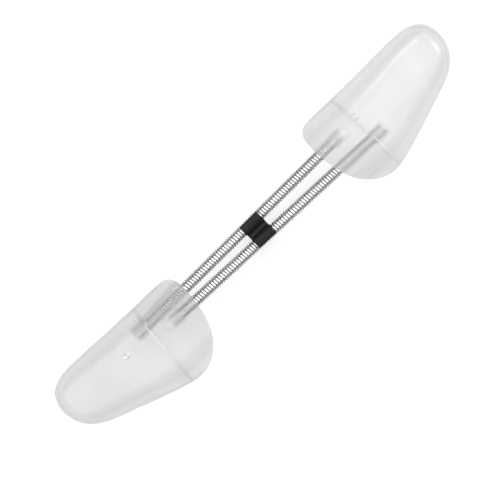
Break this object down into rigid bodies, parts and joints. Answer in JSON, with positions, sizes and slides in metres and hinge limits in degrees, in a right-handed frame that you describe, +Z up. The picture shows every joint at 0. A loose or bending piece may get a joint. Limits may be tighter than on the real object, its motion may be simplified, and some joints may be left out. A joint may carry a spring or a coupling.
{
  "type": "shoe stretcher",
  "caption": "Nested pair of shoe trees: hollow frosted toe formers on long coil springs with heel knobs, held side by side by a double clip.",
  "frame": {"origin": "middle of the pair's outline seen from above, on the plane that the two toe formers stand on", "axes": "+X along the nested pair towards the toe of the right tree, +Y towards the straight inner sides of both formers, +Z up"},
  "size_m": [0.3824, 0.0804, 0.0438],
  "materials": {
    "frosted_plastic": "frosted translucent polypropylene",
    "spring_steel": "bright plated spring wire",
    "knob_plastic": "frosted translucent polypropylene",
    "clip_plastic": "satin black plastic"
  },
  "bodies": {
    "clip": {"spring_clip": "clip_plastic"},
    "left_tree": {"left_spring": "spring_steel"},
    "left_toe": {"left_toe_former": "frosted_plastic"},
    "left_heel": {"left_heel_knob": "knob_plastic"},
    "right_tree": {"right_spring": "spring_steel"},
    "right_toe": {"right_toe_former": "frosted_plastic"},
    "right_heel": {"right_heel_knob": "knob_plastic"}
  },
  "joints": [
    {"name": "left_tree_slide", "type": "slide", "parent": "clip", "child": "left_tree", "axis": [-0.9998, -0.018, 0], "range_m": [-0.002, 0.045]},
    {"name": "left_toe_bend", "type": "hinge", "parent": "left_tree", "child": "left_toe", "pos_m": [-0.03731, 0.01342, 0.018], "axis": [-0.018, 0.9998, 0], "range_deg": [-8, 35], "stiffness_Nm_per_rad": 0.1, "deforming": ["left_spring"]},
    {"name": "left_heel_press", "type": "slide", "parent": "left_tree", "child": "left_heel", "axis": [-0.9998, -0.018, 0], "range_m": [-0.0015, 0.012], "stiffness_N_per_m": 4000, "deforming": ["left_spring"]},
    {"name": "right_tree_slide", "type": "slide", "parent": "clip", "child": "right_tree", "axis": [0.9998, -0.018, 0], "range_m": [-0.002, 0.045]},
    {"name": "right_toe_bend", "type": "hinge", "parent": "right_tree", "child": "right_toe", "pos_m": [0.03687, -0.00058, 0.018], "axis": [-0.018, -0.9998, 0], "range_deg": [-8, 35], "stiffness_Nm_per_rad": 0.1, "deforming": ["right_spring"]},
    {"name": "right_heel_press", "type": "slide", "parent": "right_tree", "child": "right_heel", "axis": [0.9998, -0.018, 0], "range_m": [-0.0015, 0.012], "stiffness_N_per_m": 4000, "deforming": ["right_spring"]}
  ]
}
